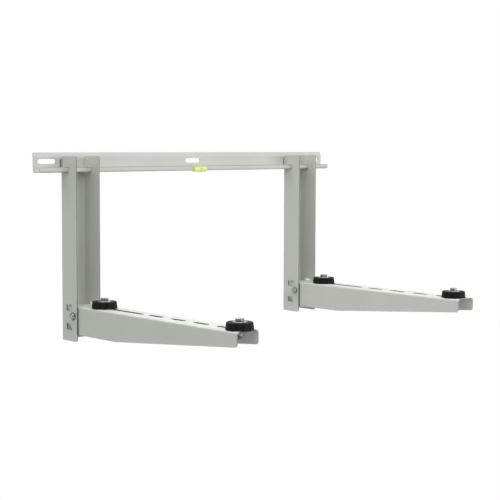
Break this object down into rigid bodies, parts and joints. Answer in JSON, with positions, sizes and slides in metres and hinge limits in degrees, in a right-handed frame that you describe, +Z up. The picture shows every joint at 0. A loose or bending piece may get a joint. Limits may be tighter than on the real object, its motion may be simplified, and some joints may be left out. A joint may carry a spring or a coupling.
{
  "type": "air conditioner outdoor unit bracket",
  "caption": "Wall bracket that carries the outdoor unit of a split air conditioner on slotted arms with rubber feet, hooked on a wall rail with a spirit level.",
  "frame": {"origin": "centre of the rail's middle anchor slot, on the back face of the rail's plate, 2.5 mm in front of the wall", "axes": "+X along the rail to the right as seen from the room, +Y into the wall, +Z up; the arms point towards -Y"},
  "size_m": [0.8, 0.4894, 0.36],
  "materials": {
    "powder_coated_steel": "satin powder coat, warm light grey",
    "zinc_plated_steel": "bright zinc plate",
    "black_rubber": "matt moulded",
    "clear_acrylic": "clear, polished",
    "level_fluid": "yellow-green liquid"
  },
  "bodies": {
    "root": {"arm_bolt_left_inner": "zinc_plated_steel", "arm_bolt_left_outer": "zinc_plated_steel", "arm_bolt_right_inner": "zinc_plated_steel", "arm_bolt_right_outer": "zinc_plated_steel", "arm_left": "powder_coated_steel", "arm_nut_left_inner": "zinc_plated_steel", "arm_nut_left_outer": "zinc_plated_steel", "arm_nut_right_inner": "zinc_plated_steel", "arm_nut_right_outer": "zinc_plated_steel", "arm_right": "powder_coated_steel", "arm_washer_left_inner": "zinc_plated_steel", "arm_washer_left_outer": "zinc_plated_steel", "arm_washer_right_inner": "zinc_plated_steel", "arm_washer_right_outer": "zinc_plated_steel", "cross_rail": "powder_coated_steel", "foot_bolt_left_front": "zinc_plated_steel", "foot_bolt_left_rear": "zinc_plated_steel", "foot_bolt_right_front": "zinc_plated_steel", "foot_bolt_right_rear": "zinc_plated_steel", "foot_left_front": "black_rubber", "foot_left_rear": "black_rubber", "foot_lower_washer_left_front": "zinc_plated_steel", "foot_lower_washer_left_rear": "zinc_plated_steel", "foot_lower_washer_right_front": "zinc_plated_steel", "foot_lower_washer_right_rear": "zinc_plated_steel", "foot_nut_left_front": "zinc_plated_steel", "foot_nut_left_rear": "zinc_plated_steel", "foot_nut_right_front": "zinc_plated_steel", "foot_nut_right_rear": "zinc_plated_steel", "foot_right_front": "black_rubber", "foot_right_rear": "black_rubber", "foot_washer_left_front": "zinc_plated_steel", "foot_washer_left_rear": "zinc_plated_steel", "foot_washer_right_front": "zinc_plated_steel", "foot_washer_right_rear": "zinc_plated_steel", "level_block": "clear_acrylic", "level_fluid": "level_fluid", "upright_left": "powder_coated_steel", "upright_right": "powder_coated_steel"}
  },
  "joints": []
}
